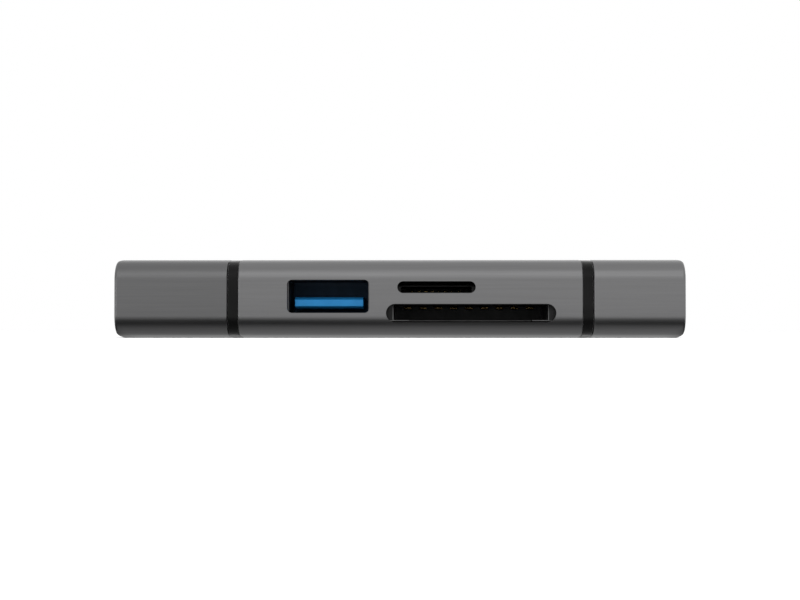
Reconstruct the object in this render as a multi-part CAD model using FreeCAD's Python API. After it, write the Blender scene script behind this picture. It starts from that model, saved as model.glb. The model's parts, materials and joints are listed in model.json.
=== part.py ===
import FreeCAD, Part
import math
import os

# Pocket hub and memory-card reader: a crowned metal sleeve closed by two moulded end frames, each
# carrying a plug under a pull-off metal cap, with a port and two card slots in one long side.
# Millimetres. X runs along the length with the long cap at -X, the ports face -Y and Z is up.
# The origin is under the middle of the case, on the surface that it rests on.

# Case
LENGTH = 89.5
WIDTH = 20.5
THICK = 12.5
LAND = 4.0
CROWN_R = 46.0
CORNER_R = 3.2
LONG_CAP = 17.75
SHORT_CAP = 14.35
CAP_GAP = 0.1
CAP_WALL = 1.0
CAP_END = 1.2
END_ROUND = 0.5
EDGE_BREAK = 0.22
SLEEVE_WALL = 1.2
RAIL_REACH = 0.9
RAIL_T = 0.7

# Moulded end frames
COLLAR = 1.6
COLLAR_INSET = 0.15
SPIGOT = 2.4
SPIGOT_PLAY = 0.1
SPIGOT_LEAD = 0.3
TONGUE_IN = 3.4
TONGUE_PLAY = 0.04
FRAME_WALL = 1.2
FRAME_WEB = 1.6

# Board
BOARD_T = 1.0
BOARD_FRONT = -8.85
BOARD_BACK = 8.95
BOARD_ENDS = 0.7

# Flat contacts
CONTACT_T = 0.15
TAIL = 1.5
TAIL_RISE = 0.2
WIDE_PINS = (-3.5, -1.0, 1.0, 3.5)
WIDE_PIN_W = 0.9
NARROW_PINS = (-4.5, -2.25, 0.0, 2.25, 4.5)
NARROW_PIN_W = 0.5
BURIED_DROP = 1.0

# Type-A plug under the long cap
A_WIDTH = 12.0
A_HEIGHT = 4.5
A_SHELL = 0.3
A_FOLD_R = 0.4
A_REACH = 11.9
A_INSIDE = 4.1
A_TONGUE_T = 1.95
A_TONGUE_BACK = 0.5
A_BLOCK_AT = 9.8
A_WINDOW = (2.0, 2.5)
A_WINDOW_AT = 6.2
A_WINDOW_OFF = 3.1

# Type-C plug under the short cap
C_WIDTH = 8.34
C_HEIGHT = 2.56
C_SHELL = 0.2
C_REACH = 6.65
C_INSIDE = 2.1
C_MOUTH_W = 6.9
C_MOUTH_DEPTH = 5.4
C_PITCH = 0.5
C_PINS = 12
C_PIN_W = 0.26
C_PIN_T = 0.12

# Type-A port in the long side
PORT_X = -11.16
PORT_RISE = 0.25
PORT_CUT_W = 12.87
PORT_CUT_H = 5.2
PORT_CUT_R = 0.8
PORT_W = 12.5
PORT_H = 5.12
PORT_SHELL = 0.3
PORT_DEPTH = 13.2
PORT_SETBACK = 0.05
PORT_TONGUE_W = 10.8
PORT_TONGUE_T = 1.84
PORT_TONGUE_DROP = 0.98
PORT_TONGUE_AT = 3.0
PORT_NOSE = (0.9, 0.42)
PORT_PAD_AT = 1.1
PORT_BLOCK = 2.8
PORT_EAR = (1.2, 3.0)
PORT_EAR_AT = 3.2

# Full-size card slot and its socket under the board
CARD_X = 11.2
CARD_DROP = 2.38
CARD_CUT_W = 26.6
CARD_CUT_H = 2.9
CARD_PATH_W = 24.3
CARD_PATH_H = 2.4
CARD_FLOOR = 0.55
CARD_SIDE = 1.05
CARD_SHEET = 0.2
CARD_FRONT = -8.6
CARD_BACK = 6.2
CARD_STOP = 1.2
CARD_LEDGE = 2.5
CARD_NOTCH = 3.0
CARD_PINS = 9
CARD_PITCH = 2.5
CARD_PIN_W = 1.2
CARD_SPRING = 0.5

# Small card slot and its socket on top of the board
MINI_X = 5.8
MINI_RISE = 1.68
MINI_CUT_W = 12.25
MINI_CUT_H = 1.85
MINI_PATH_W = 11.2
MINI_PATH_H = 0.9
MINI_FLOOR = 0.45
MINI_SIDE = 0.8
MINI_SHEET = 0.15
MINI_FRONT = -7.85
MINI_BACK = 5.4
MINI_STOP = 0.9
MINI_PINS = 8
MINI_PITCH = 1.1
MINI_PIN_W = 0.6
MINI_PIN_TIP = 3.4
MINI_SPRING = 0.45

# Parts soldered to the board
HUB_CHIP = (6.0, 6.0, 0.9)
HUB_CHIP_AT = (20.0, 3.6)
CARD_CHIP = (5.0, 5.0, 0.9)
CARD_CHIP_AT = (20.0, -4.2)
CHIP_BEVEL = 0.15
CRYSTAL = (3.2, 2.5, 0.75)
CRYSTAL_AT = (14.8, 6.2)
CRYSTAL_RIM = 0.35
CRYSTAL_STEP = 0.2
REGULATOR = (2.9, 1.6, 1.1)
REGULATOR_AT = (-17.0, 6.4)
LEAD_W = 0.4
LEAD_T = 0.15
LEAD_REACH = 0.6
LEAD_PITCH = 0.95
CHIP_CAP = (1.6, 0.8, 0.8)
CHIP_CAP_ROW = 6
CHIP_CAP_STEP = 2.4
CHIP_CAP_START = (-13.0, 6.6)

# Modelling allowances
TINY = 1e-6
ROUND_END_SPARE = 0.01

Vec = FreeCAD.Vector
MID = THICK / 2
LONG_MOUTH = LONG_CAP - LENGTH / 2
LONG_SHOULDER = LONG_MOUTH + CAP_GAP
SLEEVE_LEFT = LONG_SHOULDER + COLLAR
SHORT_MOUTH = LENGTH / 2 - SHORT_CAP
SHORT_SHOULDER = SHORT_MOUTH - CAP_GAP
SLEEVE_RIGHT = SHORT_SHOULDER - COLLAR
A_TIP = LONG_SHOULDER - SPIGOT - A_REACH
A_BACK = SLEEVE_LEFT + A_INSIDE
C_TIP = SHORT_SHOULDER + SPIGOT + C_REACH
C_BACK = SLEEVE_RIGHT - C_INSIDE
BOARD_TOP = MID + BOARD_T / 2
BOARD_UNDER = MID - BOARD_T / 2
WALL_INSIDE = SLEEVE_WALL - WIDTH / 2
PORT_Z = MID + PORT_RISE
PORT_FRONT = WALL_INSIDE + PORT_SETBACK
PORT_BACK = PORT_FRONT + PORT_DEPTH


def box(x, y, z):
    """Block between a low and a high limit along each axis."""
    block = Part.makeBox(x[1] - x[0], y[1] - y[0], z[1] - z[0])
    return block.translated(Vec(x[0], y[0], z[0]))


def around(centre, size):
    """Low and high limits of a size centred on a place."""
    return (centre - size / 2, centre + size / 2)


def edges_at_x(shape, x):
    """Edges of a shape that lie in the plane at one X."""
    return [e for e in shape.Edges if max(abs(v.X - x) for v in e.Vertexes) < TINY]


def case_section(inset):
    """Outline across the case, moved inwards: straight sides and lands joined by corners and crowns."""
    lean = math.asin((WIDTH / 2 - LAND / 2 - CORNER_R) / (CROWN_R - CORNER_R))
    crown_z = THICK / 2 - CROWN_R
    corner_z = crown_z + (CROWN_R - CORNER_R) * math.cos(lean)
    corner_y = WIDTH / 2 - CORNER_R
    quarter = math.pi / 2

    def arc(y, z, radius, start, end):
        turns = (start, (start + end) / 2, end)
        return Part.Arc(*[Vec(0, y + radius * math.cos(t), MID + z + radius * math.sin(t)) for t in turns])

    arcs = []
    for side in (1, -1):
        turned = 0 if side > 0 else math.pi
        corner = (side * corner_y, side * corner_z, CORNER_R - inset)
        crown = (side * LAND / 2, side * crown_z, CROWN_R - inset)
        arcs.append(arc(*corner, turned, turned + quarter - lean))
        arcs.append(arc(*crown, turned + quarter - lean, turned + quarter))
        corner = (-side * corner_y, side * corner_z, CORNER_R - inset)
        crown = (-side * LAND / 2, side * crown_z, CROWN_R - inset)
        arcs.append(arc(*crown, turned + quarter, turned + quarter + lean))
        arcs.append(arc(*corner, turned + quarter + lean, turned + 2 * quarter))

    edges = []
    for this, following in zip(arcs, arcs[1:] + arcs[:1]):
        edges.append(this.toShape())
        if this.EndPoint.distanceToPoint(following.StartPoint) > TINY:
            edges.append(Part.makeLine(this.EndPoint, following.StartPoint))
    return Part.Wire(edges)


def case_prism(inset, x0, x1):
    """Solid of the case's section between two places along the length."""
    face = Part.Face(case_section(inset))
    return face.extrude(Vec(x1 - x0, 0, 0)).translated(Vec(x0, 0, 0))


def rounded_bar(width, height, radius, start, reach):
    """Bar of rounded oblong section whose width runs along local X, height along Z and reach along Y."""
    bar = box(around(0, width), (0, reach), around(0, height))
    upright = [e for e in bar.Edges if abs(e.tangentAt(e.FirstParameter).y) > 0.5]
    return bar.makeFillet(radius, upright).translated(start)


def port_cutter(x, z, width, height, radius):
    """Cutter through the front wall for an opening centred at x and z."""
    return rounded_bar(width, height, radius, Vec(x, -WIDTH, z), WIDTH / 2 + SLEEVE_WALL * 2)


def slot_cutter(x, z, width, height):
    """Cutter through the front wall for a slot with round ends."""
    return port_cutter(x, z, width, height, height / 2 - ROUND_END_SPARE)


def plug_bar(width, height, radius, x0, x1):
    """Bar of rounded oblong section along X, at mid height."""
    bar = rounded_bar(width, height, radius, Vec(0, 0, 0), x1 - x0)
    bar.rotate(Vec(0, 0, 0), Vec(0, 0, 1), -90)
    return bar.translated(Vec(x0, 0, MID))


def strip(outline, offset, width, along_x):
    """Solid with an outline of places along its run and heights, and a width centred across the run."""
    low = offset - width / 2
    if along_x:
        points = [Vec(u, low, z) for u, z in outline]
        return Part.Face(Part.makePolygon(points + points[:1])).extrude(Vec(0, width, 0))
    points = [Vec(low, u, z) for u, z in outline]
    return Part.Face(Part.makePolygon(points + points[:1])).extrude(Vec(width, 0, 0))


def flat_contact(path, offset, width, along_x):
    """Bent flat contact: path gives its lower face as places along its run and heights."""
    normals = []
    for (u0, z0), (u1, z1) in zip(path, path[1:]):
        length = math.hypot(u1 - u0, z1 - z0)
        normals.append(((z0 - z1) / length, (u1 - u0) / length))
    raised = []
    for place, before, after in zip(path, normals[:1] + normals, normals + normals[-1:]):
        share = CONTACT_T / (1 + before[0] * after[0] + before[1] * after[1])
        shift = [(b + a) * share for b, a in zip(before, after)]
        raised.append((place[0] + shift[0], place[1] + shift[1]))
    return strip(path + raised[::-1], offset, width, along_x)


def pin_pair(tip, pads, block_back, top, centre, along_x):
    """Wide contacts flush with a tongue's upper face and narrow ones that dive into it, with board tails."""
    out = block_back + TAIL_RISE
    seat = top - CONTACT_T
    wide = [(tip, seat), (block_back, seat), (out, BOARD_TOP), (out + TAIL, BOARD_TOP)]
    low = top - BURIED_DROP
    under = BOARD_UNDER - CONTACT_T
    narrow = [(pads[0], seat), (pads[1], seat), (pads[1], low)]
    narrow += [(block_back, low), (out, under), (out + TAIL, under)]
    pins = [flat_contact(wide, centre + p, WIDE_PIN_W, along_x) for p in WIDE_PINS]
    pins += [flat_contact(narrow, centre + p, NARROW_PIN_W, along_x) for p in NARROW_PINS]
    return Part.makeCompound(pins)


def body_sleeve():
    """Extruded metal sleeve with a board groove in its back wall and openings in its front wall."""
    outer = case_prism(0, SLEEVE_LEFT, SLEEVE_RIGHT)
    rims = edges_at_x(outer, SLEEVE_LEFT) + edges_at_x(outer, SLEEVE_RIGHT)
    outer = outer.makeChamfer(EDGE_BREAK, rims)
    tube = outer.cut(case_prism(SLEEVE_WALL, SLEEVE_LEFT, SLEEVE_RIGHT))
    back = -WALL_INSIDE
    run = (SLEEVE_LEFT, SLEEVE_RIGHT)
    reach = (back - RAIL_REACH, back + SLEEVE_WALL / 2)
    rails = [box(run, reach, (BOARD_TOP, BOARD_TOP + RAIL_T))]
    rails.append(box(run, reach, (BOARD_UNDER - RAIL_T, BOARD_UNDER)))
    cutters = [port_cutter(PORT_X, PORT_Z, PORT_CUT_W, PORT_CUT_H, PORT_CUT_R)]
    cutters.append(slot_cutter(CARD_X, MID - CARD_DROP, CARD_CUT_W, CARD_CUT_H))
    cutters.append(slot_cutter(MINI_X, MID + MINI_RISE, MINI_CUT_W, MINI_CUT_H))
    return tube.fuse(rails).removeSplitter().cut(cutters)


def round_closed_end(solid, end):
    """Round the edge of a cap's closed end with three narrow flats that touch one arc."""
    first = (2 - math.sqrt(2)) * END_ROUND
    second = END_ROUND - END_ROUND * math.tan(math.pi / 16) - first
    inward = -math.copysign(first, end)
    solid = solid.makeChamfer(first, edges_at_x(solid, end))
    return solid.makeChamfer(second, edges_at_x(solid, end) + edges_at_x(solid, end + inward))


def cap(mouth, end):
    """Metal cap, open at its mouth and closed by a flat end with a rounded edge."""
    outer = round_closed_end(case_prism(0, min(mouth, end), max(mouth, end)), end)
    floor = end - math.copysign(CAP_END, end)
    shell = outer.cut(case_prism(CAP_WALL, min(mouth, floor), max(mouth, floor)))
    return shell.makeChamfer(EDGE_BREAK, edges_at_x(shell, mouth))


def end_frame(shoulder, rim, plug, board):
    """Moulded end frame: collar beside the sleeve, spigot for the cap, tongue that closes the sleeve."""
    outward = math.copysign(1, shoulder)
    nose = shoulder + outward * SPIGOT
    inner = rim - outward * TONGUE_IN
    pocket = nose - outward * FRAME_WEB
    spigot = case_prism(CAP_WALL + SPIGOT_PLAY, min(rim, nose), max(rim, nose))
    spigot = spigot.makeChamfer(SPIGOT_LEAD, edges_at_x(spigot, nose))
    collar = case_prism(COLLAR_INSET, min(rim, shoulder), max(rim, shoulder))
    tongue = case_prism(SLEEVE_WALL + TONGUE_PLAY, min(rim, inner), max(rim, inner))
    solid = spigot.fuse([collar, tongue]).removeSplitter()
    hollow = case_prism(SLEEVE_WALL + FRAME_WALL, min(pocket, inner), max(pocket, inner))
    groove_reach = (-WALL_INSIDE - RAIL_REACH - TONGUE_PLAY, WIDTH / 2)
    groove_z = around(MID, BOARD_T + 2 * (RAIL_T + TONGUE_PLAY))
    groove = box((min(rim, inner), max(rim, inner)), groove_reach, groove_z)
    return solid.cut([hollow, groove, plug, board])


def a_plug_blank():
    """Outside of the type-A plug as a solid bar with its folds rounded."""
    return plug_bar(A_WIDTH, A_HEIGHT, A_FOLD_R, A_TIP, A_BACK)


def a_plug_core(x0, x1):
    """Inside of the type-A plug's shell as a solid bar between two places."""
    return plug_bar(A_WIDTH - 2 * A_SHELL, A_HEIGHT - 2 * A_SHELL, A_FOLD_R - A_SHELL, x0, x1)


def a_plug_shell():
    """Folded sheet shell of the type-A plug, with two latch windows above and two below."""
    windows = []
    for offset in (-A_WINDOW_OFF, A_WINDOW_OFF):
        along = around(A_TIP + A_WINDOW_AT, A_WINDOW[0])
        windows.append(box(along, around(offset, A_WINDOW[1]), around(MID, A_HEIGHT)))
    return a_plug_blank().cut([a_plug_core(A_TIP, A_BACK)] + windows)


def a_plug_contacts():
    """Contacts of the type-A plug."""
    pads = (A_TIP + A_BLOCK_AT - 2 * TAIL, A_TIP + A_BLOCK_AT - TAIL)
    top = MID - A_HEIGHT / 2 + A_SHELL + A_TONGUE_T
    return pin_pair(A_TIP + 2 * A_TONGUE_BACK, pads, A_BACK - TAIL_RISE, top, 0, True)


def a_plug_insulator(contacts):
    """Moulded tongue and rear block of the type-A plug."""
    body = a_plug_core(A_TIP + A_TONGUE_BACK, A_BACK - TAIL_RISE)
    tongue_top = MID - A_HEIGHT / 2 + A_SHELL + A_TONGUE_T
    mouth = box((A_TIP, A_TIP + A_BLOCK_AT), around(0, A_WIDTH), (tongue_top, MID + A_HEIGHT / 2))
    return body.cut([mouth, contacts])


def c_plug_blank():
    """Outside of the type-C plug as a solid bar."""
    return plug_bar(C_WIDTH, C_HEIGHT, C_HEIGHT / 2 - ROUND_END_SPARE, C_BACK, C_TIP)


def c_plug_core(x0, x1):
    """Inside of the type-C plug's shell as a solid bar between two places."""
    height = C_HEIGHT - 2 * C_SHELL
    return plug_bar(C_WIDTH - 2 * C_SHELL, height, height / 2 - ROUND_END_SPARE, x0, x1)


def c_plug_shell():
    """Drawn oval shell of the type-C plug."""
    return c_plug_blank().cut(c_plug_core(C_BACK, C_TIP))


def c_plug_rows():
    """Height limits of the type-C plug's upper and lower contact rows."""
    return ((BOARD_TOP, BOARD_TOP + C_PIN_T), (BOARD_UNDER - C_PIN_T, BOARD_UNDER))


def c_plug_contacts():
    """Two rows of contacts that run from the type-C plug's mouth to both faces of the board."""
    pins = []
    run = (C_BACK - TAIL, C_TIP - C_SHELL * 3)
    for pin in range(C_PINS):
        across = around((pin - (C_PINS - 1) / 2) * C_PITCH, C_PIN_W)
        pins += [box(run, across, row) for row in c_plug_rows()]
    return Part.makeCompound(pins)


def c_plug_insulator():
    """Moulded lining of the type-C plug, with a mouth for the mating tongue and two contact ways."""
    body = c_plug_core(C_BACK + C_SHELL, C_TIP - C_SHELL)
    upper, lower = c_plug_rows()
    mouth = box((C_TIP - C_MOUTH_DEPTH, C_TIP), around(0, C_MOUTH_W), (lower[0], upper[1]))
    run = (C_BACK, C_TIP - C_MOUTH_DEPTH)
    ways = [box(run, around(0, C_PINS * C_PITCH), row) for row in (upper, lower)]
    return body.cut([mouth] + ways)


def port_blank():
    """Outside of the port's shell as a solid block."""
    across = around(PORT_X, PORT_W + 2 * PORT_SHELL)
    return box(across, (PORT_FRONT, PORT_BACK), around(PORT_Z, PORT_H + 2 * PORT_SHELL))


def port_shell():
    """Folded sheet shell of the port, open in front, with ears that rest on the board."""
    inside = box(around(PORT_X, PORT_W), (PORT_FRONT, PORT_BACK - PORT_SHELL), around(PORT_Z, PORT_H))
    exit_z = (PORT_Z - PORT_H / 2, BOARD_TOP + 2 * CONTACT_T)
    exit_gap = box(around(PORT_X, PORT_W), (PORT_BACK - PORT_SHELL, PORT_BACK), exit_z)
    half = PORT_W / 2 + PORT_SHELL
    start = PORT_FRONT + PORT_EAR_AT
    ears = []
    for low in (PORT_X - half - PORT_EAR[0], PORT_X + half):
        across = (low, low + PORT_EAR[0])
        ears.append(box(across, (start, start + PORT_EAR[1]), (BOARD_TOP, BOARD_TOP + PORT_SHELL)))
    return port_blank().cut([inside, exit_gap]).fuse(ears)


def port_tongue_limits():
    """Front, rear, lower and upper limits of the port's tongue."""
    z = around(PORT_Z - PORT_TONGUE_DROP, PORT_TONGUE_T)
    return (PORT_TONGUE_AT - WIDTH / 2, PORT_BACK - PORT_SHELL), z


def port_contacts():
    """Contacts of the port."""
    run, z = port_tongue_limits()
    pads = (run[0] + PORT_PAD_AT, run[0] + PORT_PAD_AT + TAIL)
    return pin_pair(run[0] + TAIL * 2, pads, PORT_BACK - TAIL_RISE, z[1], PORT_X, False)


def port_tongue_blank():
    """Outside of the port's tongue as a solid bar with a tapered nose."""
    run, z = port_tongue_limits()
    taper_end = run[0] + PORT_NOSE[0]
    outline = [(run[0], z[1] - PORT_NOSE[1]), (run[0], z[0] + PORT_NOSE[1]), (taper_end, z[0])]
    outline += [(run[1], z[0]), (run[1], z[1]), (taper_end, z[1])]
    return strip(outline, PORT_X, PORT_TONGUE_W, False)


def port_tongue(contacts):
    """Coloured moulded tongue of the port, which carries the contacts."""
    return port_tongue_blank().cut(contacts)


def port_rear_block(contacts):
    """Dark moulded block that fills the back of the port's shell and holds the tongue."""
    run, _ = port_tongue_limits()
    block = box(around(PORT_X, PORT_W), (run[1] - PORT_BLOCK, run[1]), around(PORT_Z, PORT_H))
    return block.cut([port_tongue_blank(), contacts])


def card_socket_heights():
    """Floor face, path limit and cover limit of the full-size card socket, from the board down."""
    ceiling = BOARD_UNDER - CARD_FLOOR
    path = ceiling - CARD_PATH_H
    return ceiling, path, path - CARD_SHEET


def card_socket_contacts():
    """Sprung contacts of the full-size card socket."""
    ceiling = card_socket_heights()[0]
    seat = ceiling - CONTACT_T
    stop = CARD_BACK - CARD_STOP
    under = BOARD_UNDER - CONTACT_T
    start = stop - 3 * TAIL
    crest = (start + TAIL / 2, seat - CARD_SPRING)
    path = [(start, seat - CARD_SPRING / 2), crest, (start + TAIL, seat)]
    path += [(CARD_BACK, seat), (CARD_BACK + TAIL_RISE, under), (CARD_BACK + TAIL, under)]
    first = CARD_X - (CARD_PINS - 1) / 2 * CARD_PITCH
    pins = [flat_contact(path, first + n * CARD_PITCH, CARD_PIN_W, False) for n in range(CARD_PINS)]
    return Part.makeCompound(pins)


def card_socket_base(contacts):
    """Moulded base of the full-size card socket: floor against the board, side walls and rear stop."""
    ceiling, path, _ = card_socket_heights()
    across = around(CARD_X, CARD_PATH_W + 2 * CARD_SHEET + 2 * CARD_SIDE)
    block = box(across, (CARD_FRONT, CARD_BACK), (path, BOARD_UNDER))
    run = (CARD_FRONT, CARD_BACK - CARD_STOP)
    way = box(around(CARD_X, CARD_PATH_W + 2 * CARD_SHEET), run, (path, ceiling))
    return block.cut([way, contacts])


def card_socket_cover():
    """Folded sheet cover of the full-size card socket, with side flanges and a wide finger notch."""
    ceiling, path, under = card_socket_heights()
    run = (CARD_FRONT, CARD_BACK - CARD_STOP)
    width = CARD_PATH_W + 2 * CARD_SHEET
    sheet = box(around(CARD_X, width + 2 * CARD_SIDE), (CARD_FRONT, CARD_BACK), (under, path))
    sides = box(around(CARD_X, width), run, (path, ceiling))
    way = box(around(CARD_X, CARD_PATH_W), run, (path, ceiling))
    notch_w = CARD_PATH_W - 2 * CARD_LEDGE
    notch = box(around(CARD_X, notch_w), (CARD_FRONT, CARD_FRONT + CARD_NOTCH), (under, path))
    return sheet.fuse(sides).removeSplitter().cut([way, notch])


def mini_socket_heights():
    """Floor face, path limit and cover limit of the small card socket, from the board up."""
    floor = BOARD_TOP + MINI_FLOOR
    path = floor + MINI_PATH_H
    return floor, path, path + MINI_SHEET


def mini_socket_contacts():
    """Sprung contacts of the small card socket."""
    floor = mini_socket_heights()[0]
    stop = MINI_BACK - MINI_STOP
    start = stop - MINI_PIN_TIP
    crest = (start + TAIL / 2, floor + MINI_SPRING)
    path = [(start, floor + MINI_SPRING / 2), crest, (start + TAIL, floor)]
    path += [(MINI_BACK, floor), (MINI_BACK + TAIL_RISE, BOARD_TOP), (MINI_BACK + TAIL, BOARD_TOP)]
    first = MINI_X - (MINI_PINS - 1) / 2 * MINI_PITCH
    pins = [flat_contact(path, first + n * MINI_PITCH, MINI_PIN_W, False) for n in range(MINI_PINS)]
    return Part.makeCompound(pins)


def mini_socket_base(contacts):
    """Moulded base of the small card socket: floor on the board, side walls and rear stop."""
    floor, path, _ = mini_socket_heights()
    block = box(around(MINI_X, MINI_PATH_W + 2 * MINI_SIDE), (MINI_FRONT, MINI_BACK), (BOARD_TOP, path))
    way = box(around(MINI_X, MINI_PATH_W), (MINI_FRONT, MINI_BACK - MINI_STOP), (floor, path))
    return block.cut([way, contacts])


def mini_socket_cover():
    """Folded sheet cover of the small card socket, with flanges that stand on the board."""
    _, path, top = mini_socket_heights()
    run = (MINI_FRONT, MINI_BACK)
    width = MINI_PATH_W + 2 * MINI_SIDE
    outside = box(around(MINI_X, width + 2 * MINI_SHEET), run, (BOARD_TOP, top))
    return outside.cut(box(around(MINI_X, width), run, (BOARD_TOP, path)))


def main_board():
    """Circuit board, notched for both plugs and for the port that sits through its front edge."""
    x = (SLEEVE_LEFT + BOARD_ENDS, SLEEVE_RIGHT - BOARD_ENDS)
    board = box(x, (BOARD_FRONT, BOARD_BACK), (BOARD_UNDER, BOARD_TOP))
    c_notch = box((C_BACK, x[1]), around(0, C_WIDTH), (BOARD_UNDER, BOARD_TOP))
    return board.cut([a_plug_blank(), port_blank(), c_notch])


def chip(size, place):
    """Moulded chip on the board with bevelled upper edges."""
    top = BOARD_TOP + size[2]
    body = box(around(place[0], size[0]), around(place[1], size[1]), (BOARD_TOP, top))
    rim = [e for e in body.Edges if min(v.Z for v in e.Vertexes) > top - TINY]
    return body.makeChamfer(CHIP_BEVEL, rim)


def crystal():
    """Ceramic-bodied clock crystal with a stepped metal lid."""
    x = around(CRYSTAL_AT[0], CRYSTAL[0])
    y = around(CRYSTAL_AT[1], CRYSTAL[1])
    top = BOARD_TOP + CRYSTAL[2]
    body = box(x, y, (BOARD_TOP, top - CRYSTAL_STEP))
    lid_x = around(CRYSTAL_AT[0], CRYSTAL[0] - 2 * CRYSTAL_RIM)
    lid_y = around(CRYSTAL_AT[1], CRYSTAL[1] - 2 * CRYSTAL_RIM)
    return body.fuse(box(lid_x, lid_y, (top - CRYSTAL_STEP, top))).removeSplitter()


def regulator():
    """Small voltage regulator with bent leads on both sides."""
    x, y = REGULATOR_AT
    height = (BOARD_TOP + LEAD_T, BOARD_TOP + REGULATOR[2])
    body = box(around(x, REGULATOR[0]), around(y, REGULATOR[1]), height)
    leads = []
    for n in (-1, 0, 1):
        across = around(x + n * LEAD_PITCH, LEAD_W)
        reach = around(y, REGULATOR[1] + 2 * LEAD_REACH)
        leads.append(box(across, reach, (BOARD_TOP, BOARD_TOP + LEAD_T)))
    return body.fuse(leads).removeSplitter()


def chip_capacitors():
    """Row of chip capacitors behind the port."""
    rows = []
    for n in range(CHIP_CAP_ROW):
        x = around(CHIP_CAP_START[0] + n * CHIP_CAP_STEP, CHIP_CAP[0])
        y = around(CHIP_CAP_START[1], CHIP_CAP[1])
        rows.append(box(x, y, (BOARD_TOP, BOARD_TOP + CHIP_CAP[2])))
    return Part.makeCompound(rows)


def all_pieces():
    """Every piece of the reader by its node name."""
    board = main_board()
    a_pins = a_plug_contacts()
    c_pins = c_plug_contacts()
    port_pins = port_contacts()
    card_pins = card_socket_contacts()
    mini_pins = mini_socket_contacts()
    return {
        "body_sleeve": body_sleeve(),
        "long_cap": cap(LONG_MOUTH, -LENGTH / 2),
        "short_cap": cap(SHORT_MOUTH, LENGTH / 2),
        "long_end_frame": end_frame(LONG_SHOULDER, SLEEVE_LEFT, a_plug_blank(), board),
        "short_end_frame": end_frame(SHORT_SHOULDER, SLEEVE_RIGHT, c_plug_blank(), board),
        "main_board": board,
        "type_a_plug_shell": a_plug_shell(),
        "type_a_plug_insulator": a_plug_insulator(a_pins),
        "type_a_plug_contacts": a_pins,
        "type_c_plug_shell": c_plug_shell(),
        "type_c_plug_insulator": c_plug_insulator(),
        "type_c_plug_contacts": c_pins,
        "port_shell": port_shell(),
        "port_tongue": port_tongue(port_pins),
        "port_rear_block": port_rear_block(port_pins),
        "port_contacts": port_pins,
        "card_socket_base": card_socket_base(card_pins),
        "card_socket_cover": card_socket_cover(),
        "card_socket_contacts": card_pins,
        "mini_socket_base": mini_socket_base(mini_pins),
        "mini_socket_cover": mini_socket_cover(),
        "mini_socket_contacts": mini_pins,
        "hub_chip": chip(HUB_CHIP, HUB_CHIP_AT),
        "card_chip": chip(CARD_CHIP, CARD_CHIP_AT),
        "clock_crystal": crystal(),
        "voltage_regulator": regulator(),
        "chip_capacitors": chip_capacitors(),
    }


def main():
    """Build every piece, report it and write one file per node."""
    os.makedirs("parts", exist_ok=True)
    for name, shape in all_pieces().items():
        print(name, "valid" if shape.isValid() else "INVALID", len(shape.Solids), round(shape.Volume, 2))
        shape.exportStep(os.path.join("parts", name + ".step"))


main()
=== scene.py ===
import json
import math

import bmesh
import bpy
from mathutils import Matrix, Vector

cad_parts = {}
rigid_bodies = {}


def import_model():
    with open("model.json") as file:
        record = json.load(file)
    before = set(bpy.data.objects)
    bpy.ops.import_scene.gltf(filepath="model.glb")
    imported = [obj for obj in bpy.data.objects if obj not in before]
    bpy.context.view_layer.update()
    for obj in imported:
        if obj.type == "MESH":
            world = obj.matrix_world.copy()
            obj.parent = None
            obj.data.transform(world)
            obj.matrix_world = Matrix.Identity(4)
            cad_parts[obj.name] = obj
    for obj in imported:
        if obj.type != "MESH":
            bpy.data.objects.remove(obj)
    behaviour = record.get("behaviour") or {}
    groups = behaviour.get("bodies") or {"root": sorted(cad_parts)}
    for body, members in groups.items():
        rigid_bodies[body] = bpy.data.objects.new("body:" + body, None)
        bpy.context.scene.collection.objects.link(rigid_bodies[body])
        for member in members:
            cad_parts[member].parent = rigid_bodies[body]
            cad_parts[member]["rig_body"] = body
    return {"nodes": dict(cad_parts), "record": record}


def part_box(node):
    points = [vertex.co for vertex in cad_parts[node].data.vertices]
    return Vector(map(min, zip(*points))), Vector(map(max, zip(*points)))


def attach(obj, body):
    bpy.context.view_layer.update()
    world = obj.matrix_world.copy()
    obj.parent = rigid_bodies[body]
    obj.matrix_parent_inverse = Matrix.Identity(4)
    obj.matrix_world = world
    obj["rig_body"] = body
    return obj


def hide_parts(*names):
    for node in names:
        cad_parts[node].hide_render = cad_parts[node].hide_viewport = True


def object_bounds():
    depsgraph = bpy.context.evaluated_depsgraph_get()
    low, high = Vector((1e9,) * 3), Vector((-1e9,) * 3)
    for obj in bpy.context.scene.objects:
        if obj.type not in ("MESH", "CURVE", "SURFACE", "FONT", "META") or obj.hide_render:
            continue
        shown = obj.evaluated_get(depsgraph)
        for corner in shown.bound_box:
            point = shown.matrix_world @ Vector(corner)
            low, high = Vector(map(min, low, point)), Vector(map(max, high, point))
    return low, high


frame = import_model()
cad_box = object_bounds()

# Looks of a pocket hub and memory-card reader: a metal sleeve with openings in one long side, two pull-off
# metal caps, and the black frames, plugs, port and card sockets between and behind them.
# Metres. X runs along the length with the long cap at -X, the openings face -Y and Z is up.
MM = 0.001

# Section and walls of the case
LAND = 4.0 * MM
CROWN_R = 46.0 * MM
CORNER_R = 3.2 * MM
CROWN_STEPS = 5
CORNER_STEPS = 18
SLEEVE_WALL = 1.2 * MM
CAP_WALL = 1.0 * MM
CAP_END = 1.2 * MM
COLLAR_INSET = 0.04 * MM
RAIL_REACH = 0.9 * MM
RAIL_T = 0.7 * MM

# Openings in the port side, as length and height, and how far the slots lie from mid height
PORT_CUT = (12.87 * MM, 5.2 * MM)
PORT_CUT_R = 0.8 * MM
CARD_CUT = (26.6 * MM, 2.9 * MM)
CARD_RISE = -2.38 * MM
MINI_CUT = (12.25 * MM, 1.85 * MM)
MINI_RISE = 1.68 * MM
CUT_ARC_STEPS = 10

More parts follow.
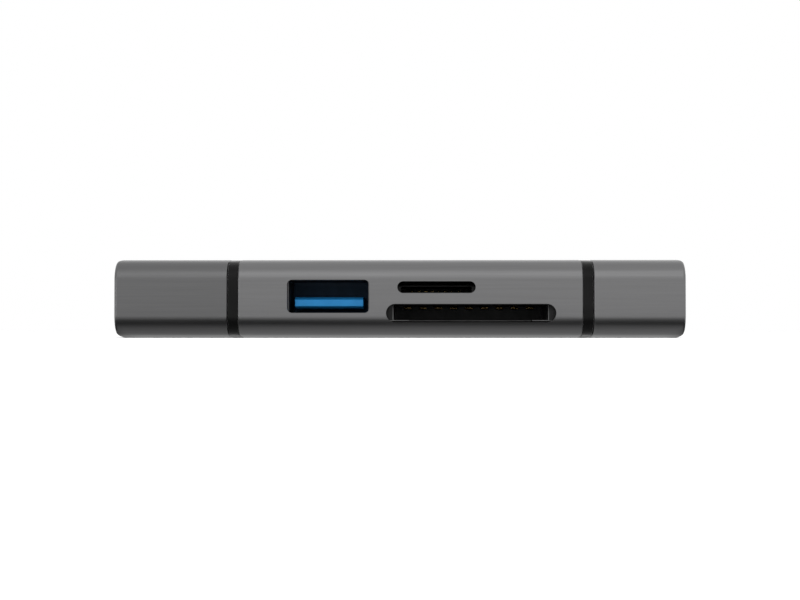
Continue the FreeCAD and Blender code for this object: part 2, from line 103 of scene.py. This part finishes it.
# Rounding of edges
END_ROUND = 0.5 * MM
END_STEPS = 6
EDGE_BREAK = 0.22 * MM
CUT_BREAK = 0.15 * MM
BREAK_STEPS = 4
MOULDED_EASE = 0.08 * MM
SHEET_EASE = 0.05 * MM
PIN_EASE = 0.025 * MM
EASE_STEPS = 2

# Points closer than MERGE are one, faces within FLAT_ANGLE are one, edges past SHARP_ANGLE are real corners,
# and a face runs round the case while its normal has less than ROUND_LEAN along X
MERGE = 0.001 * MM
FLAT_ANGLE = math.radians(0.5)
SHARP_ANGLE = math.radians(32)
ROUND_LEAN = 0.5

# Finishes: tones darken a finish, tints make a grey cool or warm, and noise from low to high fills a range
LONG_CAP_TONE = 0.78
# The mini socket's cover is darkened further as painted shade, deep in its slot
MINI_COVER_PAINTED_SHADE = 0.2
ANODISED_TINT = 0.012
NICKEL_TINT = -0.03
NOISE_LOW = 0.3
NOISE_HIGH = 0.7

# Stage
FLOOR_SIZE = 8.0
FLOOR_TONE = 0.96
WORLD_FILL = 0.6
BACKGROUND = 1.0
SUN_SOFTNESS = math.radians(40)
# Painted reflection of the floor, by distance out from the reader's sides: darker close to the reader as
# painted shade, and brighter than white further out as painted light
PAINTED_REFLECTION_LEVELS = (
    (-3.0 * MM, 0.62),
    (-1.0 * MM, 0.5),
    (0.6 * MM, 0.27),
    (1.6 * MM, 0.08),
    (4.0 * MM, 0.08),
    (9.0 * MM, 0.28),
    (16.0 * MM, 0.85),
    (28.0 * MM, 1.25),
    (60.0 * MM, 1.15),
)

# Photograph, in pixels: size, focal length, scale per millimetre at the port side and the reader's middle
PHOTO_SIZE = (800, 600)
PHOTO_FOCAL = 1536.0
PHOTO_SCALE = 6.4
PHOTO_CENTRE = (399.4, 297.9)

# Camera: its place to the right and above the floor, its sensor in millimetres and what it clips
CAMERA_SIDE = 3.0 * MM
CAMERA_HEIGHT = 1.0 * MM
SENSOR_WIDTH = 36.0
CLIP_NEAR = 0.001
CLIP_FAR = 50.0

# From the frame: the solids, the boxes of the case and the material slot of each node
nodes = frame["nodes"]
sleeve_low, sleeve_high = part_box("body_sleeve")
long_low, long_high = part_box("long_cap")
short_low, short_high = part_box("short_cap")
WIDTH = sleeve_high.y - sleeve_low.y
TOP = sleeve_high.z
MID = (sleeve_low.z + sleeve_high.z) / 2
SLOTS = {row["node"]: row["material_slot"] for row in frame["record"]["subparts"]}

# The pieces of the case, where the end frames' collars lie, and how far edges are eased in each slot
CASE_NODES = ("body_sleeve", "long_cap", "short_cap")
COLLARS = {
    "long_end_frame": (long_high.x, sleeve_low.x),
    "short_end_frame": (sleeve_high.x, short_low.x),
}
EASES = {
    "black_moulding": MOULDED_EASE,
    "dark_moulding": MOULDED_EASE,
    "blue_moulding": MOULDED_EASE,
    "plated_sheet": SHEET_EASE,
    "dull_sheet": SHEET_EASE,
    "gilt_contact": PIN_EASE,
}


def middle(node):
    """Middle of a node's box."""
    low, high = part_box(node)
    return (low + high) / 2


def round_off(bm, edges, width, steps):
    """Round edges off with a bevel of that width."""
    bmesh.ops.bevel(
        bm, geom=edges, offset=width, offset_type="OFFSET", affect="EDGES", segments=steps,
        profile=0.5, material=-1, clamp_overlap=True)


def swing(bm, vert, centre, angle, steps):
    """Draw an arc from a vertex about an axis along the case, and give the vertex at its end."""
    made = bmesh.ops.spin(
        bm, geom=[vert], cent=centre, axis=(1, 0, 0), angle=angle, steps=steps, use_merge=False)
    return made["geom_last"][0]


def case_section(x):
    """A new mesh that holds the case's outline at x as one face."""
    bm = bmesh.new()
    lean = math.asin((WIDTH / 2 - LAND / 2 - CORNER_R) / (CROWN_R - CORNER_R))
    crown = Vector((x, LAND / 2, TOP - CROWN_R))
    corner = crown + (CROWN_R - CORNER_R) * Vector((0, math.sin(lean), math.cos(lean)))
    ridge = bm.verts.new((x, 0, TOP))
    land = bm.verts.new((x, LAND / 2, TOP))
    shoulder = swing(bm, land, crown, -lean, CROWN_STEPS)
    side = swing(bm, shoulder, corner, lean - math.pi / 2, CORNER_STEPS)
    belt = bm.verts.new((x, WIDTH / 2, MID))
    bm.edges.new((ridge, land))
    bm.edges.new((side, belt))
    for axis in "ZY":
        bmesh.ops.mirror(
            bm, geom=bm.verts[:] + bm.edges[:], matrix=Matrix.Translation((0, 0, -MID)),
            merge_dist=MERGE, axis=axis)
    bmesh.ops.contextual_create(bm, geom=bm.edges[:])
    middles = [v for v in bm.verts if abs(v.co.y) < MERGE or abs(v.co.z - MID) < MERGE]
    bmesh.ops.dissolve_verts(bm, verts=middles)
    return bm


def push(bm, face, reach):
    """Extrude a face along the case and give the moved face."""
    made = bmesh.ops.extrude_face_region(bm, geom=[face, *face.edges])["geom"]
    bmesh.ops.translate(bm, vec=(reach, 0, 0), verts=[v for v in made if isinstance(v, bmesh.types.BMVert)])
    return next(f for f in made if isinstance(f, bmesh.types.BMFace))


def shrink(bm, face, wall):
    """Inset a face by a wall's thickness and give the inner face."""
    bmesh.ops.inset_region(bm, faces=[face], thickness=wall, use_even_offset=True, use_boundary=True)
    return face


def is_sharp(edge):
    """Whether the two faces at an edge meet at a real corner."""
    return edge.is_manifold and edge.calc_face_angle() > SHARP_ANGLE


def edges_at(bm, x):
    """Sharp edges that lie across the case at x."""
    return [e for e in bm.edges if max(abs(v.co.x - x) for v in e.verts) < MERGE and is_sharp(e)]


def face_at(bm, x):
    """The face that closes a mesh at x."""
    return next(f for f in bm.faces if max(abs(v.co.x - x) for v in f.verts) < MERGE)


def faces_axis(place, normal):
    """Whether a face of the case at a place looks towards the case's long axis."""
    return place.y * normal.y + (place.z - MID) * normal.z < 0


def block(low, high):
    """A new mesh that holds a plain block between two corners."""
    bm = bmesh.new()
    bmesh.ops.create_cube(bm, size=1)
    bmesh.ops.scale(bm, vec=high - low, verts=bm.verts)
    bmesh.ops.translate(bm, vec=(low + high) / 2, verts=bm.verts)
    return bm


def to_object(bm, name):
    """Turn a mesh under construction into an object at the origin, with its faces outwards."""
    bmesh.ops.recalc_face_normals(bm, faces=bm.faces)
    if bm.calc_volume(signed=True) < 0:
        bmesh.ops.reverse_faces(bm, faces=bm.faces)
    mesh = bpy.data.meshes.new(name)
    bm.to_mesh(mesh)
    bm.free()
    made = bpy.data.objects.new(name, mesh)
    bpy.context.scene.collection.objects.link(made)
    return made


def combine(base, tools):
    """Cut tools from, or join tools to, a base object for good. Tools are (operation, mesh) pairs."""
    helpers = []
    for operation, bm in tools:
        helper = to_object(bm, base.name + "_tool")
        change = base.modifiers.new(operation, "BOOLEAN")
        change.operation = operation
        change.solver = "EXACT"
        change.object = helper
        helpers.append(helper)
    shaped = bpy.data.meshes.new_from_object(base.evaluated_get(bpy.context.evaluated_depsgraph_get()))
    base.modifiers.clear()
    base.data = shaped
    for helper in helpers:
        bpy.data.objects.remove(helper)


def shade(piece):
    """Shade round faces smoothly, keep real edges crisp and let flat faces stay flat."""
    piece.data.shade_smooth()
    piece.data.set_sharp_from_angle(angle=SHARP_ANGLE)
    weighted = piece.modifiers.new("weighted", "WEIGHTED_NORMAL")
    weighted.keep_sharp = True


def dress(piece, node, material):
    """Give a piece its finish and let it stand for a node on that node's body."""
    shade(piece)
    piece.data.materials.clear()
    piece.data.materials.append(material)
    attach(piece, nodes[node]["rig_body"])
    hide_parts(node)


def cap(node, mouth, end, material):
    """Metal cap with a rounded closed end, an eased mouth and an even wall."""
    bm = case_section(mouth)
    closed = push(bm, bm.faces[:][0], end - mouth)
    round_off(bm, closed.edges[:], END_ROUND, END_STEPS)
    inner = shrink(bm, face_at(bm, mouth), CAP_WALL)
    push(bm, inner, end - math.copysign(CAP_END, end) - mouth)
    round_off(bm, edges_at(bm, mouth), EDGE_BREAK, BREAK_STEPS)
    dress(to_object(bm, node + "_case"), node, material)


def tube(left, right):
    """A new mesh that holds the sleeve's plain tube, with eased ends."""
    bm = case_section(left)
    push(bm, bm.faces[:][0], right - left)
    ends = [shrink(bm, face_at(bm, x), SLEEVE_WALL) for x in (left, right)]
    loops = [e for f in ends for e in f.edges]
    bmesh.ops.delete(bm, geom=ends, context="FACES_ONLY")
    bmesh.ops.bridge_loops(bm, edges=loops)
    rims = edges_at(bm, left) + edges_at(bm, right)
    round_off(bm, rims, EDGE_BREAK, BREAK_STEPS)
    return bm


def opening_cutter(x, z, size, radius):
    """A new mesh that holds a cutter through the front wall, with rounded corners."""
    half = Vector((size[0] / 2, 0, size[1] / 2))
    front = Vector((x, -WIDTH, z))
    back = Vector((x, SLEEVE_WALL * 2 - WIDTH / 2, z))
    bm = block(front - half, back + half)
    through = [e for e in bm.edges if abs(e.verts[0].co.y - e.verts[1].co.y) > WIDTH / 4]
    round_off(bm, through, radius, CUT_ARC_STEPS)
    bmesh.ops.remove_doubles(bm, verts=bm.verts, dist=MERGE)
    return bm


def sleeve_tools():
    """Cutters for the openings and the two rails that hold the board."""
    port = middle("port_shell")
    tools = [("DIFFERENCE", opening_cutter(port.x, port.z, PORT_CUT, PORT_CUT_R))]
    slots = (("card_socket_cover", CARD_RISE, CARD_CUT), ("mini_socket_base", MINI_RISE, MINI_CUT))
    for node, rise, size in slots:
        # A hair under half the height, because the bevel needs some flat left between two round corners
        round_end = size[1] / 2 - MERGE / 4
        tools.append(("DIFFERENCE", opening_cutter(middle(node).x, MID + rise, size, round_end)))
    board_low, board_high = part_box("main_board")
    back = WIDTH / 2 - SLEEVE_WALL
    setback = EDGE_BREAK * 2
    for foot in (board_low.z - RAIL_T, board_high.z):
        low = Vector((sleeve_low.x + setback, back - RAIL_REACH, foot))
        high = Vector((sleeve_high.x - setback, back + SLEEVE_WALL / 2, foot + RAIL_T))
        tools.append(("UNION", block(low, high)))
    return tools


def opening_edges(bm):
    """Outer edges of the openings in the front wall."""
    skin = SLEEVE_WALL / 3 - WIDTH / 2
    left, right = sleeve_low.x + SLEEVE_WALL, sleeve_high.x - SLEEVE_WALL
    found = []
    for edge in bm.edges:
        near = all(v.co.y < skin and left < v.co.x < right for v in edge.verts)
        if near and is_sharp(edge):
            found.append(edge)
    return found


def ease_openings(piece):
    """Break the outer edges of the sleeve's openings."""
    bm = bmesh.new()
    bm.from_mesh(piece.data)
    bmesh.ops.remove_doubles(bm, verts=bm.verts, dist=MERGE)
    round_off(bm, opening_edges(bm), CUT_BREAK, BREAK_STEPS)
    bm.to_mesh(piece.data)
    bm.free()


def sleeve(material, inside):
    """Metal sleeve with eased ends, board rails in the back wall and three openings in the front wall."""
    piece = to_object(tube(sleeve_low.x, sleeve_high.x), "body_sleeve_case")
    combine(piece, sleeve_tools())
    ease_openings(piece)
    dress(piece, "body_sleeve", material)
    piece.data.materials.append(inside)
    # The inside gets the painted shade, apart from the front wall and the edges of its openings
    front_wall = SLEEVE_WALL - WIDTH / 2 + MERGE
    for face in piece.data.polygons:
        if faces_axis(face.center, face.normal) and face.center.y > front_wall:
            face.material_index = 1


def raise_collar(bm, start, end):
    """Bring the outside of an end frame's collar, between start and end, almost flush with the case."""
    skin = set()
    for face in bm.faces:
        place = face.calc_center_median()
        runs_round = abs(face.normal.x) < ROUND_LEAN and not faces_axis(place, face.normal)
        if start < place.x < end and runs_round:
            skin.update(face.verts)
    rise = max(v.co.z for v in skin) - MID
    reach = max(v.co.y for v in skin)
    grow = (1, (WIDTH / 2 - COLLAR_INSET) / reach, (TOP - MID - COLLAR_INSET) / rise)
    bmesh.ops.scale(bm, vec=grow, space=Matrix.Translation((0, 0, -MID)), verts=list(skin))


def eased(node, width, material):
    """Copy of a node with its edges eased, as moulded, folded or stamped pieces have them."""
    bm = bmesh.new()
    bm.from_mesh(nodes[node].data)
    bmesh.ops.remove_doubles(bm, verts=bm.verts, dist=MERGE)
    bmesh.ops.dissolve_limit(bm, angle_limit=FLAT_ANGLE, verts=bm.verts, edges=bm.edges)
    if node in COLLARS:
        raise_collar(bm, *COLLARS[node])
    round_off(bm, [e for e in bm.edges if is_sharp(e)], width, EASE_STEPS)
    dress(to_object(bm, node + "_eased"), node, material)


class Finish:
    """A material under construction: one shader and the textures that feed it."""

    def __init__(self, name, metallic=0.0, specular=0.5):
        self.material = bpy.data.materials.new(name)
        self.material.use_nodes = True
        self.tree = self.material.node_tree
        self.shader = self.tree.nodes["Principled BSDF"]
        self.fix("Metallic", metallic)
        self.fix("Specular IOR Level", specular)
        self.place = self.node("ShaderNodeTexCoord").outputs["Object"]

    def fix(self, socket, value):
        """Set what is the same all over the surface."""
        self.shader.inputs[socket].default_value = value

    def node(self, kind, **values):
        """Add a node with some of its properties set."""
        made = self.tree.nodes.new(kind)
        for name, value in values.items():
            setattr(made, name, value)
        return made

    def join(self, source, target):
        """Feed one socket from another."""
        self.tree.links.new(source, target)

    def grain(self, size, detail=2.0, along=None, length=None):
        """Noise with grains of one size, apart from their length along one axis where that is given."""
        sizes = dict.fromkeys("XYZ", size)
        if along:
            sizes[along] = length
        mapping = self.node("ShaderNodeMapping")
        mapping.inputs["Scale"].default_value = [1 / sizes[axis] for axis in "XYZ"]
        self.join(self.place, mapping.inputs["Vector"])
        noise = self.node("ShaderNodeTexNoise")
        noise.inputs["Scale"].default_value = 1.0
        noise.inputs["Detail"].default_value = detail
        self.join(mapping.outputs["Vector"], noise.inputs["Vector"])
        return noise.outputs["Fac"]

    def span(self, source, low, high):
        """Spread the middle of a noise over a range of values."""
        spread = self.node("ShaderNodeMapRange")
        spread.inputs["From Min"].default_value = NOISE_LOW
        spread.inputs["From Max"].default_value = NOISE_HIGH
        spread.inputs["To Min"].default_value = low
        spread.inputs["To Max"].default_value = high
        self.join(source, spread.inputs["Value"])
        return spread.outputs["Result"]

    def colour(self, source, dark, light):
        """Blend the base colour between two tones by a noise."""
        mix = self.node("ShaderNodeMix", data_type="RGBA")
        self.join(self.span(source, low=0.0, high=1.0), mix.inputs["Factor"])
        tones = [s for s in mix.inputs if s.type == "RGBA"]
        tones[0].default_value = (*dark, 1.0)
        tones[1].default_value = (*light, 1.0)
        result = next(s for s in mix.outputs if s.type == "RGBA")
        self.join(result, self.shader.inputs["Base Color"])

    def rough(self, source, low, high):
        """Vary the roughness by a noise."""
        self.join(self.span(source, low, high), self.shader.inputs["Roughness"])

    def bump(self, source, depth):
        """Raise the surface by a noise, on top of the bumps made before."""
        normal = self.shader.inputs["Normal"]
        bump = self.node("ShaderNodeBump")
        bump.inputs["Strength"].default_value = 1.0
        bump.inputs["Distance"].default_value = depth
        self.join(source, bump.inputs["Height"])
        if normal.is_linked:
            self.join(normal.links[0].from_socket, bump.inputs["Normal"])
        self.join(bump.outputs["Normal"], normal)


def grey(value, tint=0.0):
    """A grey, made cool by a tint above nought and warm by one below."""
    return (value, value, value * (1 + tint))


def blasted_metal(name, tone=1.0):
    """Fine blasted and grey anodised metal, drawn lightly along the length, darker by a tone below one."""
    made = Finish(name, metallic=1.0)
    cloud = made.grain(size=5 * MM, detail=3.0, along="X", length=9 * MM)
    blast = made.grain(size=0.09 * MM)
    drawn = made.grain(size=0.3 * MM, detail=3.0, along="X", length=14 * MM)
    made.colour(drawn, dark=grey(0.166 * tone, ANODISED_TINT), light=grey(0.178 * tone, ANODISED_TINT))
    made.rough(cloud, low=0.33, high=0.36)
    made.bump(blast, depth=0.0035 * MM)
    made.bump(drawn, depth=0.003 * MM)
    return made.material


def painted_shade_inside():
    """Sleeve's inside, darkened as painted shade, with a fine grain drawn along the length."""
    made = Finish("sleeve_inside_painted_shade", metallic=1.0)
    drawn = made.grain(size=0.2 * MM, along="X", length=6 * MM)
    made.colour(drawn, dark=grey(0.035), light=grey(0.055))
    made.rough(drawn, low=0.55, high=0.7)
    return made.material


def satin_black():
    """Satin black moulded frame."""
    made = Finish("black_moulding", specular=0.12)
    made.fix("Sheen Weight", 0.3)
    made.fix("Sheen Roughness", 0.3)
    skin = made.grain(size=0.15 * MM)
    made.colour(made.grain(size=3 * MM), dark=grey(0.002), light=grey(0.004))
    made.rough(skin, low=0.3, high=0.38)
    made.bump(skin, depth=0.002 * MM)
    return made.material


def dark_moulding(name, dark, light):
    """Heat-proof dark moulding of the sockets and the short plug, and the port's back in dark navy tones,
    which are painted shade of a blue moulding deep in the port.
    """
    made = Finish(name, specular=0.2)
    skin = made.grain(size=0.12 * MM, detail=3.0)
    made.colour(made.grain(size=1.5 * MM), dark, light)
    made.rough(skin, low=0.48, high=0.64)
    made.bump(skin, depth=0.003 * MM)
    return made.material


def blue_moulding():
    """Blue moulded tongue of the port and the long plug."""
    made = Finish("blue_moulding", specular=0.25)
    skin = made.grain(size=0.2 * MM)
    made.colour(made.grain(size=2 * MM), dark=(0.0122, 0.18, 0.435), light=(0.016, 0.208, 0.49))
    made.rough(skin, low=0.36, high=0.5)
    made.bump(skin, depth=0.002 * MM)
    return made.material


def plated_sheet():
    """Bright nickel-plated sheet, rolled along the length."""
    made = Finish("plated_sheet", metallic=1.0)
    rolled = made.grain(size=0.08 * MM, along="X", length=4 * MM)
    made.colour(made.grain(size=3 * MM), dark=grey(0.62, NICKEL_TINT), light=grey(0.7, NICKEL_TINT))
    made.rough(rolled, low=0.2, high=0.34)
    made.bump(rolled, depth=0.001 * MM)
    return made.material


def dull_sheet(name, tone=1.0):
    """Dull tin-plated sheet of the sockets and the port, rolled across, darker by a tone below one; its
    greys are darker than the sheet's own, as painted shade deep in the openings.
    """
    made = Finish(name, metallic=1.0)
    rolled = made.grain(size=0.08 * MM, along="Y", length=4 * MM)
    made.colour(made.grain(size=2 * MM), dark=grey(0.09 * tone), light=grey(0.125 * tone))
    made.rough(rolled, low=0.38, high=0.5)
    made.bump(rolled, depth=0.001 * MM)
    return made.material


def gilt_contact():
    """Gold-plated contact."""
    made = Finish("gilt_contact", metallic=1.0)
    made.colour(made.grain(size=0.8 * MM), dark=(0.78, 0.52, 0.2), light=(0.86, 0.6, 0.26))
    made.rough(made.grain(size=0.06 * MM), low=0.18, high=0.32)
    return made.material


def board_laminate():
    """Dark green solder mask over woven laminate."""
    made = Finish("board_laminate")
    weave = made.grain(size=0.5 * MM, detail=1.0, along="Z", length=0.2 * MM)
    made.colour(weave, dark=(0.012, 0.06, 0.03), light=(0.02, 0.09, 0.045))
    made.rough(made.grain(size=0.3 * MM), low=0.28, high=0.42)
    made.bump(weave, depth=0.004 * MM)
    return made.material


def chip_epoxy():
    """Matt moulded chip body."""
    made = Finish("chip_epoxy")
    made.fix("Roughness", 0.6)
    skin = made.grain(size=0.1 * MM, detail=3.0)
    made.colour(skin, dark=grey(0.014), light=grey(0.028))
    made.bump(skin, depth=0.004 * MM)
    return made.material


def ceramic_body():
    """Fired tan ceramic."""
    made = Finish("ceramic_body")
    made.fix("Roughness", 0.5)
    made.colour(made.grain(size=0.3 * MM, detail=3.0), dark=(0.36, 0.25, 0.16), light=(0.46, 0.34, 0.22))
    return made.material


def seen_rays(tree, kinds):
    """One where a ray is of one of these kinds, and nought elsewhere."""
    rays = tree.nodes.new("ShaderNodeLightPath")
    total = rays.outputs[kinds[0]]
    for kind in kinds[1:]:
        either = tree.nodes.new("ShaderNodeMath")
        either.operation = "MAXIMUM"
        tree.links.new(total, either.inputs[0])
        tree.links.new(rays.outputs[kind], either.inputs[1])
        total = either.outputs["Value"]
    return total


def switch(tree, choice, plain, chosen, output):
    """Show one shader where choice is nought and another where it is one."""
    mix = tree.nodes.new("ShaderNodeMixShader")
    tree.links.new(choice, mix.inputs["Fac"])
    tree.links.new(plain, mix.inputs[1])
    tree.links.new(chosen, mix.inputs[2])
    tree.links.new(mix.outputs["Shader"], output)


def graded(made, source, levels):
    """Grey levels at places along a value, blended between them."""
    start, end = levels[0][0], levels[-1][0]
    share = made.node("ShaderNodeMapRange")
    share.inputs["From Min"].default_value = start
    share.inputs["From Max"].default_value = end
    made.join(source, share.inputs["Value"])
    ramp = made.node("ShaderNodeValToRGB")
    stops = ramp.color_ramp.elements
    while len(stops) < len(levels):
        stops.new(1.0)
    for stop, (place, level) in zip(stops, levels):
        stop.position = (place - start) / (end - start)
        stop.color = (*grey(level), 1.0)
    made.join(share.outputs["Result"], ramp.inputs["Fac"])
    return ramp.outputs["Color"]


def distance_out(made):
    """Distance out from the reader's sides along the floor."""
    axes = made.node("ShaderNodeSeparateXYZ")
    made.join(made.place, axes.inputs["Vector"])
    half = (cad_box[1] - cad_box[0]) / 2
    further = made.node("ShaderNodeMath", operation="MAXIMUM")
    for axis, reach, target in zip("XY", half, further.inputs):
        size = made.node("ShaderNodeMath", operation="ABSOLUTE")
        made.join(axes.outputs[axis], size.inputs[0])
        past = made.node("ShaderNodeMath", operation="SUBTRACT")
        made.join(size.outputs["Value"], past.inputs[0])
        past.inputs[1].default_value = reach
        made.join(past.outputs["Value"], target)
    return further.outputs["Value"]


def floor_paper():
    """Pale matt paper, which metal mirrors as painted grey levels: painted shade close to the reader and
    painted light further out.
    """
    made = Finish("floor_paper", specular=0.0)
    made.fix("Roughness", 1.0)
    made.fix("Base Color", (*grey(FLOOR_TONE), 1.0))
    # Emission seen only in reflections, coloured with the painted shade and painted light by distance out
    # from the reader
    white = made.node("ShaderNodeEmission")
    white.inputs["Strength"].default_value = BACKGROUND
    made.join(graded(made, distance_out(made), PAINTED_REFLECTION_LEVELS), white.inputs["Color"])
    output = made.tree.nodes["Material Output"].inputs["Surface"]
    mirrored = seen_rays(made.tree, ("Is Glossy Ray", "Is Transmission Ray"))
    switch(made.tree, mirrored, made.shader.outputs["BSDF"], white.outputs["Emission"], output)
    return made.material


def floor():
    """Plain floor under the reader."""
    bm = bmesh.new()
    bmesh.ops.create_grid(bm, x_segments=1, y_segments=1, size=FLOOR_SIZE / 2)
    bmesh.ops.translate(bm, vec=(0, 0, cad_box[0].z), verts=bm.verts)
    sheet = to_object(bm, "floor")
    sheet.data.materials.append(floor_paper())


def background(tree, level):
    """A white background of one level."""
    made = tree.nodes.new("ShaderNodeBackground")
    made.inputs["Color"].default_value = (1, 1, 1, 1)
    made.inputs["Strength"].default_value = level
    return made


def world():
    """White to the camera and in reflections, and a softer fill on the object."""
    studio = bpy.data.worlds.new("studio")
    bpy.context.scene.world = studio
    studio.use_nodes = True
    tree = studio.node_tree
    tree.nodes.clear()
    white = background(tree, BACKGROUND)
    fill = background(tree, WORLD_FILL)
    seen = seen_rays(tree, ("Is Camera Ray", "Is Glossy Ray", "Is Transmission Ray"))
    output = tree.nodes.new("ShaderNodeOutputWorld").inputs["Surface"]
    switch(tree, seen, fill.outputs["Background"], white.outputs["Background"], output)


def aim(thing, target):
    """Turn a lamp or camera towards a point."""
    thing.rotation_euler = (target - thing.location).to_track_quat("-Z", "Y").to_euler()


def even_light(name, level, tilt):
    """Broad even light that metal doesn't mirror, from above, leaning to the front by a positive tilt."""
    lamp = bpy.data.lights.new(name, "SUN")
    lamp.energy = level * math.pi
    lamp.angle = SUN_SOFTNESS
    sun = bpy.data.objects.new(name, lamp)
    sun.rotation_euler = (tilt, 0, 0)
    sun.visible_glossy = False
    bpy.context.scene.collection.objects.link(sun)


def soft_box(name, place, size, level):
    """Oblong soft lamp that faces the reader; level sets how bright its face is, whatever its size."""
    lamp = bpy.data.lights.new(name, "AREA")
    lamp.shape = "RECTANGLE"
    lamp.size, lamp.size_y = size
    lamp.energy = level * math.pi * size[0] * size[1]
    box = bpy.data.objects.new(name, lamp)
    box.location = place
    aim(box, Vector((0, 0, MID)))
    bpy.context.scene.collection.objects.link(box)


def camera():
    """Camera before the port side, close to the floor and to the right, as far off as in the photograph."""
    lens = bpy.data.cameras.new("camera")
    lens.sensor_width = SENSOR_WIDTH
    lens.lens = SENSOR_WIDTH * PHOTO_FOCAL / PHOTO_SIZE[0]
    lens.clip_start = CLIP_NEAR
    lens.clip_end = CLIP_FAR
    distance = PHOTO_FOCAL / PHOTO_SCALE * MM
    sideways = (PHOTO_SIZE[0] / 2 - PHOTO_CENTRE[0]) / PHOTO_SCALE * MM
    upwards = (PHOTO_CENTRE[1] - PHOTO_SIZE[1] / 2) / PHOTO_SCALE * MM
    eye = bpy.data.objects.new("camera", lens)
    eye.location = (CAMERA_SIDE, -WIDTH / 2 - distance, CAMERA_HEIGHT)
    aim(eye, Vector((sideways, -WIDTH / 2, MID + upwards)))
    bpy.context.scene.collection.objects.link(eye)
    bpy.context.scene.camera = eye


# Finishes by slot, and those that single pieces have of their own
case_metal = blasted_metal("anodised_case")
MATERIALS = {
    "anodised_case": case_metal,
    "black_moulding": satin_black(),
    "dark_moulding": dark_moulding("dark_moulding", dark=grey(0.011), light=grey(0.019)),
    "blue_moulding": blue_moulding(),
    "plated_sheet": plated_sheet(),
    "dull_sheet": dull_sheet("dull_sheet"),
    "gilt_contact": gilt_contact(),
    "board_laminate": board_laminate(),
    "chip_epoxy": chip_epoxy(),
    "ceramic_body": ceramic_body(),
}
OWN_FINISHES = {
    # Painted shade: the mini socket's cover, deep in its slot, in a darkened copy of the dull sheet
    "mini_socket_cover": dull_sheet("painted_shade_sheet", MINI_COVER_PAINTED_SHADE),
    # Painted shade: the port's back, deep in the port, in dark navy tones that stand for a blue moulding in
    # shade
    "port_rear_block": dark_moulding("port_back_painted_shade", dark=(0.003, 0.013, 0.029), light=(0.005, 0.019, 0.04)),
}

# Pieces
# The sleeve's inside is darkened as painted shade
sleeve(case_metal, painted_shade_inside())
cap("long_cap", long_high.x, long_low.x, blasted_metal("anodised_long_cap", LONG_CAP_TONE))
cap("short_cap", short_low.x, short_high.x, case_metal)
for name, solid in nodes.items():
    slot = SLOTS[name]
    if name in CASE_NODES:
        continue
    if slot in EASES:
        eased(name, EASES[slot], OWN_FINISHES.get(name, MATERIALS[slot]))
    else:
        solid.data.materials.clear()
        solid.data.materials.append(MATERIALS[slot])

# Stage, light and camera
floor()
world()
even_light("key", level=0.55, tilt=math.radians(-32))
even_light("front_fill", level=0.4, tilt=math.radians(75))
soft_box("highlight", place=(0.06, -0.475, 0.385), size=(0.72, 0.38), level=0.58)
soft_box("side_strip", place=(-0.38, -0.32, 0.006), size=(0.16, 0.06), level=5.0)
camera()
bpy.context.scene.view_settings.view_transform = "Standard"
